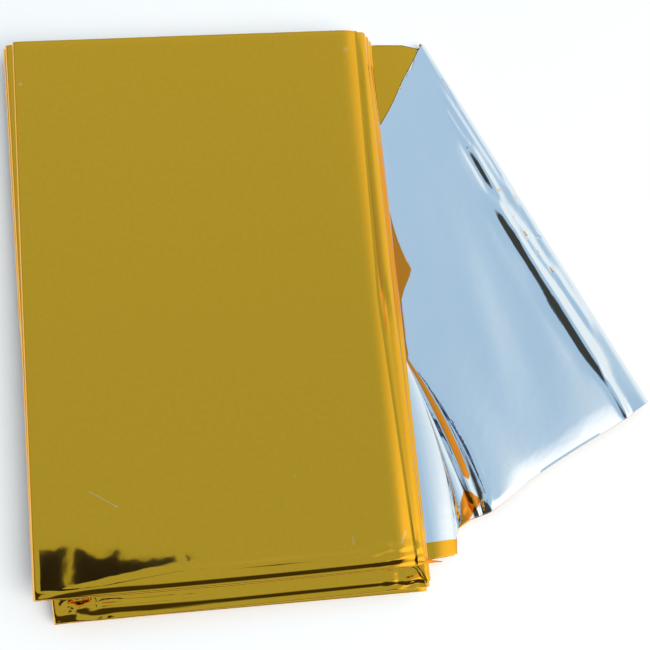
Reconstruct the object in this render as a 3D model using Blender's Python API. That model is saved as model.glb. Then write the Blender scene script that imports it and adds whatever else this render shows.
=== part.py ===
"""An emergency foil blanket, folded into its packet, with its lowest leaf turned out on a slant.

One sheet of gold and silver film lies folded back and forth, nine layers high. The lowest two
layers run out past the packet's right side: the first is gold side up, rolls over along a slanted
fold, and comes back on itself as a silver flap. A dart beside the packet takes up the turn.

Metres, +Z up. The origin is the middle of the packet's underside, -Y is the front, +X the leaf.
"""

from collections import namedtuple
from math import cos, pi, sin

import bmesh
import bpy
from mathutils import Vector

MM = 0.001

# The sheet, which stands for the many plies of thin film that lie pressed together in each layer
SHEET_THICKNESS = 1.0
LAYER_GAP = 0.45
LAYER_PITCH = SHEET_THICKNESS + LAYER_GAP
LAYERS = 9
LEAF_ROLL_RADIUS = 1.3      # to the middle of the sheet, where the leaf rolls over

# How finely the sheet is divided
STEPS_ALONG_FOLD = 14       # from the front edge to the back edge
STEPS_ROUND_FOLD = 6
STEPS_ACROSS_LAYER = 4

# Where the waist point of a line stands, as a share of the way from its front end to its back end
WAIST = 0.42

# A line across the sheet runs from its front end by its waist to its back end, in millimetres.
Line = namedtuple("Line", "name front_x front_y waist_x waist_y back_x back_y")

# Outermost line of each fold and end, from the bottom up. Odd rows after the first lie to the right.
FOLDS = (
    Line("hidden end", -39.0, -70.0, -42.0, -4.0, -43.6, 65.0),
    Line("slanted roll", 108.4, -33.9, 88.9, 8.0, 62.1, 65.9),
    Line("left 2 to 3", -39.8, -72.5, -44.0, -4.0, -45.4, 67.0),
    Line("right 3 to 4", 46.4, -73.7, 47.4, -5.0, 47.6, 66.4),
    Line("left 4 to 5", -39.3, -72.2, -44.4, -4.0, -45.7, 66.7),
    Line("right 5 to 6", 46.6, -72.7, 46.8, -5.0, 46.4, 66.0),
    Line("left 6 to 7", -43.2, -66.6, -43.6, -4.0, -44.7, 66.2),
    Line("right 7 to 8", 45.8, -67.4, 44.9, -5.0, 45.2, 65.8),
    Line("left 8 to 9", -42.5, -66.4, -42.6, -4.0, -42.5, 65.5),
    Line("free edge", 43.2, -67.2, 41.0, -5.0, 42.6, 65.4),
)

# The first layer, gold side up, from under the packet out to the slanted roll
LEAF_BELOW = (
    Line("packet side", 45.5, -67.2, 45.8, -5.0, 46.0, 66.6),
    Line("gold lip", 54.2, -66.5, 52.0, -3.0, 50.0, 66.6),
    Line("lip corner", 56.4, -60.8, 54.4, -2.0, 52.5, 66.5),
    Line("middle", 80.0, -47.2, 68.0, 6.0, 56.5, 66.3),
)

# The second layer, silver side up, from the slanted roll back to the packet. Lift is the height of
# the front end over the layer's own level: the dart's ridges stand up and its troughs lie down.
FlapLine = namedtuple("FlapLine", Line._fields + ("lift",))
LEAF_ABOVE = (
    FlapLine("beside the roll", 100.2, -38.4, 81.0, 8.0, 59.4, 62.9, 0.3),
    FlapLine("outer flap", 88.0, -44.1, 70.5, 1.0, 55.0, 56.0, 0.5),
    FlapLine("inner flap", 75.0, -50.8, 60.0, -6.0, 51.0, 49.4, 0.7),
    FlapLine("flap edge", 66.0, -57.4, 50.6, -15.6, 47.8, 43.0, 1.5),
    FlapLine("outer trough", 63.2, -59.0, 49.8, -15.2, 47.0, 42.4, 0.1),
    FlapLine("ridge", 60.2, -60.2, 49.0, -15.0, 46.2, 42.2, 1.4),
    FlapLine("inner trough", 57.4, -61.2, 48.2, -14.8, 45.4, 42.6, 0.1),
    FlapLine("strip edge", 54.4, -65.6, 47.4, -14.6, 44.6, 43.2, 0.7),
    FlapLine("strip", 47.6, -66.8, 43.6, -13.0, 40.5, 49.0, 0.2),
    FlapLine("under the packet", 30.0, -68.0, 30.0, -8.0, 27.0, 63.0, 0.0),
)


def layer_height(layer):
    """Height of a layer's middle. The lowest layer is 1 and rests on the surface."""
    return SHEET_THICKNESS / 2 + (layer - 1) * LAYER_PITCH


def fold_side(index):
    return 1 if index % 2 else -1


def points_along(line, height, end_lift=0.0):
    """Points from a line's front end by its waist to its back end, at one height.

    A bend through the three places keeps the line smooth. The lift fades out towards the waist.
    """
    front = Vector((line.front_x, line.front_y, 0))
    waist = Vector((line.waist_x, line.waist_y, 0))
    back = Vector((line.back_x, line.back_y, 0))
    points = []
    for step in range(STEPS_ALONG_FOLD + 1):
        share = step / STEPS_ALONG_FOLD
        to_front = (share - WAIST) * (share - 1) / WAIST
        to_waist = share * (1 - share) / (WAIST * (1 - WAIST))
        to_back = share * (share - WAIST) / (1 - WAIST)
        point = front * to_front + waist * to_waist + back * to_back
        fade = max(0.0, 1 - share / WAIST)
        point.z = height + end_lift * fade
        points.append(point)
    return points


def moved_out(line, distance):
    """The points of a line, each moved level and square to the line, away from the packet's middle."""
    points = points_along(line, 0.0)
    along = (points[-1] - points[0]).normalized()
    outwards = Vector((along.y, -along.x, 0))
    return [point + outwards * distance for point in points]


def between(first, second, share):
    return [a.lerp(b, share) for a, b in zip(first, second)]


def at_height(points, height):
    return [Vector((point.x, point.y, height)) for point in points]


def fold_radius(index):
    return LEAF_ROLL_RADIUS if index == 1 else LAYER_PITCH / 2


def fold_axis(index):
    """The line that a fold bends round: inside its outermost line by the bend and half the sheet."""
    inset = fold_radius(index) + SHEET_THICKNESS / 2
    return moved_out(FOLDS[index], -fold_side(index) * inset)


def lines_round_fold(index):
    """The sheet's lines round a fold, from the layer below it to the layer above it."""
    radius = fold_radius(index)
    middle = layer_height(index) + radius
    lines = []
    for step in range(STEPS_ROUND_FOLD + 1):
        turn = pi * step / STEPS_ROUND_FOLD
        reach = fold_side(index) * radius * sin(turn)
        edge = moved_out(FOLDS[index], -fold_side(index) * (radius + SHEET_THICKNESS / 2) + reach)
        lines.append(at_height(edge, middle - radius * cos(turn)))
    return lines


def plain_layer(layer):
    """The lines inside a layer that lies flat between the fold below it and the fold above it."""
    start = at_height(fold_axis(layer - 1), layer_height(layer))
    if layer == LAYERS:
        end = points_along(FOLDS[layer], layer_height(layer))
    else:
        end = at_height(fold_axis(layer), layer_height(layer))
    lines = [between(start, end, step / STEPS_ACROSS_LAYER) for step in range(1, STEPS_ACROSS_LAYER)]
    return lines + [end] if layer == LAYERS else lines


def leaf_below():
    """The first layer, from its hidden end to the slanted roll."""
    height = layer_height(1)
    rows = (FOLDS[0],) + LEAF_BELOW
    lines = [points_along(row, height) for row in rows]
    under_packet = [between(lines[0], lines[1], share) for share in (1 / 3, 2 / 3)]
    return lines[:1] + under_packet + lines[1:]


def leaf_above():
    """The second layer, which starts at the top of the roll and comes down to its place."""
    low = layer_height(2)
    high = layer_height(1) + 2 * LEAF_ROLL_RADIUS
    roll = fold_axis(1)
    lines = []
    for row in LEAF_ABOVE:
        points = points_along(row, low, row.lift)
        for point, roll_point in zip(points, roll):
            past_packet = max(0.0, point.x - FOLDS[3].waist_x)
            share = past_packet / (roll_point.x - FOLDS[3].waist_x)
            point.z += (high - low) * max(0.0, min(1.0, share)) ** 2
        lines.append(points)
    under_packet = at_height(fold_axis(2), low)
    return lines + [between(lines[-1], under_packet, 0.5)]


def sheet_lines():
    """Every line across the sheet, from its hidden end at the bottom to its free edge on top."""
    lines = leaf_below() + lines_round_fold(1) + leaf_above() + lines_round_fold(2)
    for layer in range(3, LAYERS + 1):
        lines += plain_layer(layer)
        if layer < LAYERS:
            lines += lines_round_fold(layer)
    return lines


def film_material():
    material = bpy.data.materials.new("gold_film")
    material.use_nodes = True
    shader = material.node_tree.nodes["Principled BSDF"]
    shader.inputs["Base Color"].default_value = (0.72, 0.46, 0.06, 1)
    shader.inputs["Metallic"].default_value = 1.0
    shader.inputs["Roughness"].default_value = 0.22
    return material


def build_blanket():
    shape = bmesh.new()
    rows = [[shape.verts.new(point * MM) for point in line] for line in sheet_lines()]
    for row, following in zip(rows, rows[1:]):
        for step in range(STEPS_ALONG_FOLD):
            shape.faces.new((row[step], following[step], following[step + 1], row[step + 1]))
    bmesh.ops.recalc_face_normals(shape, faces=shape.faces)
    mesh = bpy.data.meshes.new("foil_blanket")
    shape.to_mesh(mesh)
    shape.free()
    mesh.materials.append(film_material())
    blanket = bpy.data.objects.new("foil_blanket", mesh)
    bpy.context.scene.collection.objects.link(blanket)
    solid = blanket.modifiers.new("film_thickness", "SOLIDIFY")
    solid.thickness = SHEET_THICKNESS * MM
    solid.offset = 0.0
    solid.use_even_offset = True
    return blanket


for leftover in list(bpy.data.objects):
    bpy.data.objects.remove(leftover, do_unlink=True)
build_blanket()
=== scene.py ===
# %% [markdown]
# # A folded rescue blanket of gold and silver film
#
# A rescue blanket is one sheet of polyester film, thinner than a hair, with a mirror coat: gold
# on one side, silver on the other. It is sold folded back and forth both ways into a packet the
# size of a paperback. Here the packet has been opened a little: its lowest leaf is pulled out to
# the right and turned back on a slant, so that its silver side shows.
#
# This lesson builds that sheet as one thin mesh in the folds of the frame's solid, and gives it a
# mirror coat. We start by loading the frame and noting its box.

# %% Load the frame
from collections import namedtuple
from math import cos, hypot, pi, radians, sin

import bpy
import numpy as np
from mathutils import Matrix, Vector


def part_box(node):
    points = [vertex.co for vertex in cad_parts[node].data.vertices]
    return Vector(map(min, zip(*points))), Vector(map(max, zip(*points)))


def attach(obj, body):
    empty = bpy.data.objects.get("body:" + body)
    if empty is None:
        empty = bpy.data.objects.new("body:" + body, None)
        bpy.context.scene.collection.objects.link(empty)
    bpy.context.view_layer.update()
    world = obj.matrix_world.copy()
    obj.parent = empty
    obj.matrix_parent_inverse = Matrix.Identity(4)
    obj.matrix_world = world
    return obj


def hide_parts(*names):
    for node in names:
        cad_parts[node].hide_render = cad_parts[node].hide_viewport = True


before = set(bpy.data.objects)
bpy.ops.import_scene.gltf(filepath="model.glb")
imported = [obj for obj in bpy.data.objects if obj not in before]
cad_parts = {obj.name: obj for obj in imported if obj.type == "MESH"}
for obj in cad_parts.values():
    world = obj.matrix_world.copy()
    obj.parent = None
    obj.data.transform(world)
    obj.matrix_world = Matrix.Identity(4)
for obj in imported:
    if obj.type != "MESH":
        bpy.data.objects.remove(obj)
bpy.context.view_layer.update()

MM = 0.001
solid_low, solid_high = (np.array(corner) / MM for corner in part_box("foil_blanket"))
print("solid runs from", solid_low.round(1), "to", solid_high.round(1), "mm")

# %% [markdown]
# ## The camera
#
# A flat packet tells most from above. The camera stands almost straight over its front edge, a
# quarter of a metre up, and is turned a little, so the packet's long side leans across the view.
# Blender aims a camera along its own -Z. It is aimed first, and the lean is then a turn round the
# line of sight.

# %% Camera
CAMERA_PLACE = Vector((-2.0, -55.9, 242.5)) * MM
CAMERA_AIM = Vector((27.8, -9.0, 6.5)) * MM
CAMERA_LEAN = radians(-27.5)
CAMERA_LENS = 55.4


def add_camera():
    data = bpy.data.cameras.new("view_from_above")
    data.lens = CAMERA_LENS
    data.clip_start = 0.01
    camera = bpy.data.objects.new("view_from_above", data)
    bpy.context.scene.collection.objects.link(camera)
    sight = CAMERA_AIM - CAMERA_PLACE
    aimed = sight.to_track_quat("-Z", "Y").to_matrix()
    lean = Matrix.Rotation(CAMERA_LEAN, 3, sight.normalized())
    camera.matrix_world = Matrix.Translation(CAMERA_PLACE) @ (lean @ aimed).to_4x4()
    bpy.context.scene.camera = camera
    return camera


camera = add_camera()
print("camera looks", round((CAMERA_AIM - CAMERA_PLACE).length / MM), "mm down to its aim")

# %% [markdown]
# ## Lines across the sheet
#
# A folded sheet is easiest to describe by the lines that run across it from its front edge to its
# back edge. Along each fold there is one such line, and between folds the film is stretched from
# line to line. So the whole shape is a short table: for each line, where its front end, its waist
# and its back end lie. All of these sizes are in millimetres.
#
# Odd layers run from left to right and even ones run back, so that folds lie left and right by
# turns. The lowest two layers go on past the packet and make the leaf.

# %% Folds of the packet
WAIST = 0.42
WAIST_BLEND = 0.07
LAYERS = 9
LEAF_ROLL_RADIUS = 1.35
LOWEST_HEIGHT = 0.5

Line = namedtuple("Line", "name front_x front_y waist_x waist_y back_x back_y")


def table_of(kind, *rows):
    """A table whose rows are all named tuples of one kind."""
    return tuple(kind(*row) for row in rows)


FOLDS = table_of(
    Line,
    ("hidden end", -39, -70, -42, -4, -43.6, 65),
    ("slanted roll", 108.4, -33.9, 88.9, 8, 62.1, 65.9),
    ("left 2 to 3", -39.8, -72.5, -44, -4, -45.4, 67),
    ("right 3 to 4", 46.4, -73.7, 47.4, -5, 47.6, 66.4),
    ("left 4 to 5", -39.3, -72.2, -44.4, -4, -45.7, 66.7),
    ("right 5 to 6", 46.6, -72.7, 46.8, -5, 46.4, 66),
    ("left 6 to 7", -43.2, -66.6, -43.6, -4, -44.7, 66.2),
    ("right 7 to 8", 45.8, -67.4, 44.9, -5, 45.2, 65.8),
    ("left 8 to 9", -42.5, -66.4, -42.6, -4, -42.5, 65.5),
    ("free edge", 43.2, -67.2, 41, -5, 42.6, 65.4),
)

layer_pitch = (solid_high[2] - solid_low[2] - 2 * LOWEST_HEIGHT) / (LAYERS - 1)
print("layers lie", round(layer_pitch, 2), "mm apart")

# %% [markdown]
# ## The leaf and its dart
#
# The leaf turns through about thirty degrees where it leaves the packet. Flat film can't do that
# without a dart: a tuck that starts at a point beside the packet and widens to the front edge. Its
# ridges and troughs are lines of the same table. Lift is how far a line's front end stands over
# the leaf, gap is how far the plies lie apart there, lip is how far the gold fold shows in front
# of the silver ply, tip is how much of the sharp corner beside the packet a line takes, bow is how
# far its front run bulges to the right. Gilt is above 0 where the film is turned over and shows
# its gold, and 0 on the border. Steps is how many rows of points follow before the next line.

# %% Lines of the leaf
LEAF_BELOW = table_of(
    Line,
    ("packet side", 45.5, -67.2, 45.8, -5, 46, 66.6),
    ("gold lip", 54.2, -66.5, 52, -3, 50, 66.6),
    ("lip corner", 55.2, -60.8, 54, -2, 52.5, 66.5),
    ("middle", 80, -47.2, 68, 6, 56.5, 66.3),
)

FlapLine = namedtuple("FlapLine", Line._fields + ("lift", "gap", "lip", "tip", "bow", "gilt", "steps"))
LEAF_ABOVE = table_of(
    FlapLine,
    ("beside the roll", 105, -35.6, 85.6, 7.4, 60.9, 65.2, 0, 0.3, -0.15, 0, 0, -1, 6),
    ("crease foot", 102.6, -37.2, 82.2, 6.6, 59.6, 63.2, 0, 0.3, -0.15, 0, 0, -1, 5),
    ("crease crest", 101.4, -37.9, 80.8, 6.2, 58.9, 62, 0, 0.3, -0.15, 0, 0, -1, 5),
    ("crease trough", 99.6, -38.8, 79.2, 5.6, 58.1, 60.7, 0, 0.3, -0.15, 0, 0, -1, 4),
    ("outer flap", 88, -44.1, 70.5, 1, 55, 55.8, 0.2, 0.3, -0.15, 0, 0, -1, 9),
    ("inner flap", 74.4, -51, 60, -6, 51.2, 48.9, 0.4, 0.28, -0.15, 0, 0.8, -1, 7),
    ("flap bend", 68.2, -54.8, 52.6, -13, 48.2, 44.4, 1.1, 0.2, 0, 0.4, 1.8, -1, 5),
    ("flap edge", 64, -57.2, 47.9, -17, 46.9, 42.7, 1.35, 0.18, 0, 1, 2.9, -1, 3),
    ("roll side", 63.2, -57.5, 47.8, -16.9, 46.8, 42.6, 0.85, 0.16, 0.1, 1, 2.5, -1, 3),
    ("roll foot", 62.5, -57.7, 47.7, -16.8, 46.7, 42.4, 0.15, 0.16, 0.1, 1, 2.1, -0.4, 2),
    ("amber side", 62.2, -57.8, 47.6, -16.7, 46.6, 42.3, 0, 0.16, 0.1, 0.95, 1.9, 0, 3),
    ("amber ridge", 61.8, -57.9, 47.3, -16.6, 46.5, 42.2, 0.3, 0.16, 0.1, 0.8, 1.4, 0.5, 3),
    ("amber foot", 61.3, -58, 47, -16.5, 46.4, 42.2, 0.5, 0.16, 0.1, 0.5, 0.8, 0, 6),
    ("crumple end", 60.1, -58.3, 46.9, -16, 46.2, 42.2, -0.4, 0.16, 0.1, 0.2, 0.1, -0.5, 2),
    ("facet right", 59.8, -58.4, 46.8, -15.8, 45.9, 42.3, 0, 0.16, 0.1, 0.1, 0, -0.5, 3),
    ("facet left", 57, -58.9, 46.7, -15.7, 45.7, 42.4, 0.3, 0.16, 0.1, 0, 0.9, -0.2, 3),
    ("inner trough", 55.8, -60.2, 46.6, -15.5, 45.4, 42.6, -0.6, 0.16, 0.1, 0, 1.7, 0.1, 2),
    ("strip foot", 55.2, -61.8, 46.5, -15.2, 45.2, 42.8, -0.5, 0.18, 0.2, 0, 2.1, -0.3, 2),
    ("strip edge", 54.7, -66.2, 46.3, -15, 45, 43, -0.1, 0.22, 3, 0, 2.6, -1, 3),
    ("strip side", 52.8, -66.3, 45.9, -14.6, 44.7, 43.3, 0.55, 0.26, 3.1, 0, 2.1, -1, 3),
    ("strip shoulder", 50.8, -66.5, 45.4, -14.3, 44.4, 43.6, 1, 0.28, 3.2, 0, 1.6, -1, 4),
    ("strip", 46.6, -66.9, 43, -13, 40.5, 49, 1.1, 0.3, 3.5, 0, 0, -1, 4),
    ("under the packet", 30, -68, 30, -8, 27, 63, 0, 0.33, 1, 0, 0, -1, 3),
)
print(len(FOLDS), "folds and ends,", len(LEAF_BELOW) + len(LEAF_ABOVE), "lines of the leaf")

# %% [markdown]
# ## From a line to points
#
# A line is two straight runs, front to waist and waist to back, blended where they meet. The
# function takes whole arrays, so numpy can place a few hundred lines at once. The corner that
# sticks out beside the packet is added here: it rises slowly on its back side and drops fast on
# its front side. So is the spike, where one fold's front corner is pulled out to the right.

# %% Place points on lines
TIP_Y, TIP_REACH = 4.0, 4.2
TIP_BACK_LENGTH, TIP_BACK_POWER = 26.0, 3
TIP_FRONT_LENGTH, TIP_FRONT_POWER = 7.5, 1.3
SPIKE_FOLD, SPIKE_LENGTH, SPIKE_SHARE, SPIKE_POWER = 7, 6.4, 0.011, 6


def smooth_step(low, high, value):
    share = np.clip((value - low) / (high - low), 0.0, 1.0)
    return share * share * (3 - 2 * share)


def corner_shape(y):
    behind = np.clip(1 - (y - TIP_Y) / TIP_BACK_LENGTH, 0, 1) ** TIP_BACK_POWER
    before = np.clip(1 - (TIP_Y - y) / TIP_FRONT_LENGTH, 0, 1) ** TIP_FRONT_POWER
    return np.where(y > TIP_Y, behind, before)


# A row holds x and y of its front end, waist and back end, and after them these ten columns.
HEIGHT, LIFT, GAP, LIP, TIP, BOW, GILT, RISE, TUCK, SPIKE = range(6, 16)
PLAIN_GAP, PLAIN_LIP, NOT_TURNED = 0.33, 0.9, -1.0
PLAIN_DETAILS = (0.0, PLAIN_GAP, PLAIN_LIP, 0.0, 0.0, NOT_TURNED)


def place(table, share):
    """x and y of points at these shares of the way from front to back, for each row of a table."""
    front, waist, back = (table[:, None, i : i + 2] for i in (0, 2, 4))
    t = share[..., None]
    near = front + (waist - front) * t / WAIST
    far = waist + (back - waist) * (t - WAIST) / (1 - WAIST)
    points = near + (far - near) * smooth_step(WAIST - WAIST_BLEND, WAIST + WAIST_BLEND, t)
    x, y = points[..., 0], points[..., 1]
    bulge = np.sin(pi * np.clip(share / WAIST, 0, 1))
    x = x + table[:, None, TIP] * TIP_REACH * corner_shape(y) + table[:, None, BOW] * bulge
    pulled = np.clip(1 - share / SPIKE_SHARE, 0, 1) ** 2
    return x + table[:, None, SPIKE] * pulled, y


def row_of(line, height, rise=0.0):
    """A line's numbers in the order of the columns; a plain line has no details of its own."""
    details = line[7:13] if isinstance(line, FlapLine) else PLAIN_DETAILS
    tuck, spike = 0.0, 0.0
    return np.array([*line[1:7], height, *details, rise, tuck, spike])


def layer_height(layer):
    return LOWEST_HEIGHT + (layer - 1) * layer_pitch


print("a line's corner reaches out by", TIP_REACH, "mm")

# %% [markdown]
# ## Round the folds
#
# At a fold the lines go round half a circle. The table gives the outermost line of each fold, so
# the circle's middle lies inside it by the radius and half of the bundle's thickness. Moving a
# line sideways keeps it parallel to itself, which is how a crease lies.

# %% Lines round a fold
BUNDLE_HALF = 0.45
STEPS_ROUND_FOLD = 7
STEPS_ROUND_ROLL = 11
ROLL_GAP, ROLL_LIP = 0.3, -0.15


def moved(row, distance):
    """The row moved level by a distance, to the right of its own front-to-back direction."""
    along = row[4:6] - row[0:2]
    across = np.array([along[1], -along[0]]) / np.hypot(*along)
    row = row.copy()
    row[0:6] += np.tile(across * distance, 3)
    return row


def round_fold(index):
    """Rows round half a circle: odd folds lie at the right, and even ones at the left."""
    side = 1 if index % 2 else -1
    radius = LEAF_ROLL_RADIUS if index == 1 else layer_pitch / 2
    steps = STEPS_ROUND_ROLL if index == 1 else STEPS_ROUND_FOLD
    outermost = row_of(FOLDS[index], layer_height(index) + radius)
    axis = moved(outermost, -side * (radius + BUNDLE_HALF))
    rows = []
    for step in range(steps + 1):
        turn = pi * step / steps
        row = moved(axis, side * radius * sin(turn))
        row[HEIGHT] -= radius * cos(turn)
        if index == SPIKE_FOLD:
            row[SPIKE] = SPIKE_LENGTH * sin(turn) ** SPIKE_POWER
        if index == 1:
            row[GAP], row[LIP] = ROLL_GAP, ROLL_LIP
        rows.append(row)
    return rows


print(STEPS_ROUND_FOLD, "steps round a fold and", STEPS_ROUND_ROLL, "round the slanted roll")

# %% [markdown]
# ## The whole run of lines
#
# Now the lines are strung together from the hidden end, out along the first layer, round the
# slanted roll, back over the flap and its dart, and up through the packet to the free edge on top.
# Between the flap's lines a smooth curve goes through each column, except in the dart, where the
# film is creased and straight steps keep it crisp.
#
# In the packet a layer's front edge needn't run straight from fold to fold. It bulges a little to
# the front, and where one layer is pushed further forward than the next, the change happens close
# to the right-hand fold and makes a crumpled corner there.

# %% Steps between lines
BETWEEN_FOLDS = (0.02, 0.08, 0.25, 0.5, 0.75, 0.92, 0.98)
LAYER_SHARES = {
    5: (*np.linspace(0.01, 0.12, 11), 0.15, 0.19, 0.24, *np.linspace(0.31, 0.82, 6),
        *np.linspace(0.86, 0.99, 10)),
    6: (0.006, 0.014, 0.024, 0.038, 0.06, 0.1, *BETWEEN_FOLDS[2:]),
    8: (0.01, 0.016, 0.022, 0.028, 0.034, 0.04, 0.05, *BETWEEN_FOLDS[1:]),
    9: (0.008, 0.022, 0.045, *np.linspace(0.075, 0.83, 12), *np.linspace(0.87, 0.99, 9), 1),
}
HIDDEN_SHARES = (0.0, 0.02, 0.1, 0.6, 0.9)
LEAF_BELOW_STEPS = (4, 2, 4, 5)
FRONT_BULGE, BULGE_POWER = {6: 0.6, 7: 0.3, 8: 0.7, 9: 0.5}, 0.6
CORNER_LAYER, CORNER_SHARPNESS = 6, 55
STEPS_BESIDE_ROLL = 3


def curved_steps(rows, steps):
    """Rows with a smooth curve through them: steps[i] new rows from row i up to row i + 1."""
    rows = np.array(rows)
    apart = np.linalg.norm(np.diff(rows[:, 0:6], axis=0), axis=1)
    slopes = np.gradient(rows, np.concatenate([[0], np.cumsum(apart)]), axis=0)
    result = []
    for index, count in enumerate(steps):
        a, b = rows[index], rows[index + 1]
        for step in range(count):
            u = step / count
            start = slopes[index] * apart[index]
            end = slopes[index + 1] * apart[index]
            bend = (1 + 2 * u) * (1 - u) ** 2 * a + u * (1 - u) ** 2 * start
            bend += u * u * (3 - 2 * u) * b - u * u * (1 - u) * end
            result.append(bend)
    return result


def fill(first, last, shares):
    """Straight steps from one row toward another, at these shares of the way."""
    return [first + (last - first) * share for share in shares]


def even_fill(first, last, steps):
    """As many even steps, from the first row up to just before the last."""
    return fill(first, last, np.arange(steps) / steps)


print("steps between folds:", BETWEEN_FOLDS)


# %% String the lines together
def packet_layer(layer, start, end, shares):
    lines = fill(start, end, shares)
    for row, share in zip(lines, shares):
        if layer == CORNER_LAYER:
            row[1] = end[1] + (start[1] - end[1]) * (1 - share) ** CORNER_SHARPNESS
        if 0 < share < 1:
            row[1] -= FRONT_BULGE.get(layer, 0.0) * sin(pi * share) ** BULGE_POWER
    return lines


def leaf_below():
    base = layer_height(1)
    rows = [row_of(line, base) for line in (FOLDS[0],) + LEAF_BELOW] + [round_fold(1)[0]]
    lines = fill(rows[0], rows[1], HIDDEN_SHARES)
    for first, last, steps in zip(rows[1:], rows[2:], LEAF_BELOW_STEPS):
        lines += even_fill(first, last, steps)
    return lines


def leaf_above():
    base = layer_height(2)
    roll_top = round_fold(1)[-1]
    rise = roll_top[HEIGHT] - base
    roll_top[HEIGHT], roll_top[RISE] = base, rise
    rows = [roll_top] + [row_of(line, base, rise) for line in LEAF_ABOVE]
    under = round_fold(2)[0]
    steps = [line.steps for line in LEAF_ABOVE]
    names = [line.name for line in LEAF_ABOVE]
    first, last = names.index("flap edge"), names.index("strip edge")
    smooth = curved_steps(rows[: first + 2], [STEPS_BESIDE_ROLL] + steps[:first])
    creased = []
    for index in range(first, last):
        stretch = even_fill(rows[index + 1], rows[index + 2], steps[index])
        for row in stretch:
            row[TUCK] = 1.0
        creased += stretch
    end = len(steps) - 1
    strip = curved_steps(rows[last + 1 : end + 1], steps[last : end - 1])
    for index, target in ((end - 1, rows[end + 1]), (end, under)):
        strip += even_fill(rows[index + 1], target, steps[index])
    return smooth[1:] + creased + strip


def all_lines():
    """The rows of the whole sheet, and for each the layer it belongs to (halves are folds)."""
    groups = [(1.0, leaf_below()), (1.5, round_fold(1)), (2.0, leaf_above()), (2.5, round_fold(2))]
    for layer in range(3, LAYERS + 1):
        start = round_fold(layer - 1)[-1]
        last = layer == LAYERS
        end = row_of(FOLDS[LAYERS], layer_height(LAYERS)) if last else round_fold(layer)[0]
        shares = LAYER_SHARES.get(layer, BETWEEN_FOLDS)
        groups.append((float(layer), packet_layer(layer, start, end, shares)))
        if not last:
            groups.append((layer + 0.5, round_fold(layer)))
    rows = np.array([row for _, rows in groups for row in rows])
    layers = np.array([layer for layer, rows in groups for _ in rows])
    return rows, layers


rows, row_layer = all_lines()
print(len(rows), "lines across the sheet")

# %% [markdown]
# ## The middle of the bundle
#
# Every layer of the packet is a small bundle of plies. First comes the surface through the
# bundle's middle: the lines' points with their heights, still without a crease. The flap climbs
# from the packet to the top of the slanted roll.

# %% Middle surface
GRID_LOW, GRID_HIGH, GRID_STEPS = -0.04, 1.04, 217
LEAF_LIMIT = 47.0


def middle_surface(rows):
    share = np.linspace(GRID_LOW, GRID_HIGH, GRID_STEPS)[None, :].repeat(len(rows), axis=0)
    x, y = place(rows, share)
    roll_x, _ = place(np.array(round_fold(1)[-1:]), share[:1])
    z = rows[:, HEIGHT, None] + rows[:, LIFT, None] * np.clip(1 - share / WAIST, 0, 1)
    climb = np.clip((x - LEAF_LIMIT) / (roll_x - LEAF_LIMIT), 0, 1)
    return np.stack([x, y, z + rows[:, RISE, None] * climb**2], axis=-1)


middle = middle_surface(rows)
print("middle surface of", middle.shape[0], "by", middle.shape[1], "points")

# %% [markdown]
# ## Three plies to a bundle
#
# The real sheet was folded the short way first, so a bundle holds many plies, joined by turns at
# its front and back. Three are enough to show that: the first runs to the front, turns under and
# comes back, turns again and runs forward. The gold side is outside on the front turn, so each
# layer shows a round gold lip, and a silver ply ends a little behind the lip. On the strip beside
# the packet it ends further back, and a broad gold tab shows.
#
# All three follow the middle surface, one ply gap above it, on it and one below it. Their points
# lie closest together in the first millimetres behind the front edge, where the film bends most,
# and close together again at the back edge.

# %% Points along a ply
FILM = 0.09
TURN_STEPS = 6
PLY_STEPS = 56
FINE_SPACING = (0.0, 0.15, 0.35, 0.6, 0.85, 1.1, 1.4, 1.7, 2.05, 2.4, 2.8, 3.25, 3.8, 4.5, 5.4, 6.6)
FINE_AT_BACK = (2.4, 1.2, 0.5, 0.0)
TYPICAL_LENGTH = 130.0
FOLD_FRONT_STRAY, END_FRONT_STRAY, END_BACK_STRAY = 0.12, 0.3, 0.1
FOLD_BACK_INSET, END_BACK_INSET = 0.4, 0.15


def unit(vectors):
    return vectors / np.maximum(np.linalg.norm(vectors, axis=-1, keepdims=True), 1e-12)


def ply_spacing():
    """Shares from 0 to 1, with the millimetres beside the front and the back divided finely."""
    front = np.array(FINE_SPACING) / TYPICAL_LENGTH
    back = 1 - np.array(FINE_AT_BACK) / TYPICAL_LENGTH
    even = PLY_STEPS - len(front) - len(back)
    return np.concatenate([front, np.linspace(front[-1], back[0], even + 2)[1:-1], back])


def sampled(grid, share):
    """A grid of values read at these shares along each line."""
    at = (share - GRID_LOW) / (GRID_HIGH - GRID_LOW) * (GRID_STEPS - 1)
    at = np.clip(at, 0, GRID_STEPS - 1.001)
    low = at.astype(int)
    part = (at - low)[..., None]
    line = np.arange(len(grid))[:, None]
    return grid[line, low] * (1 - part) + grid[line, low + 1] * part


def wander(layers, amount, phase):
    """How far an edge strays along the packet's lines, in millimetres, the same way each time."""
    run = np.arange(len(layers))
    slow = np.sin(run / 9.0 + phase + layers * 1.9)
    fast = np.sin(run / 3.7 + phase * 2.3)
    return np.where(layers > 2, amount * (0.7 * slow + 0.3 * fast), 0)


print("steps along a ply:", len(ply_spacing()))


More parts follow.
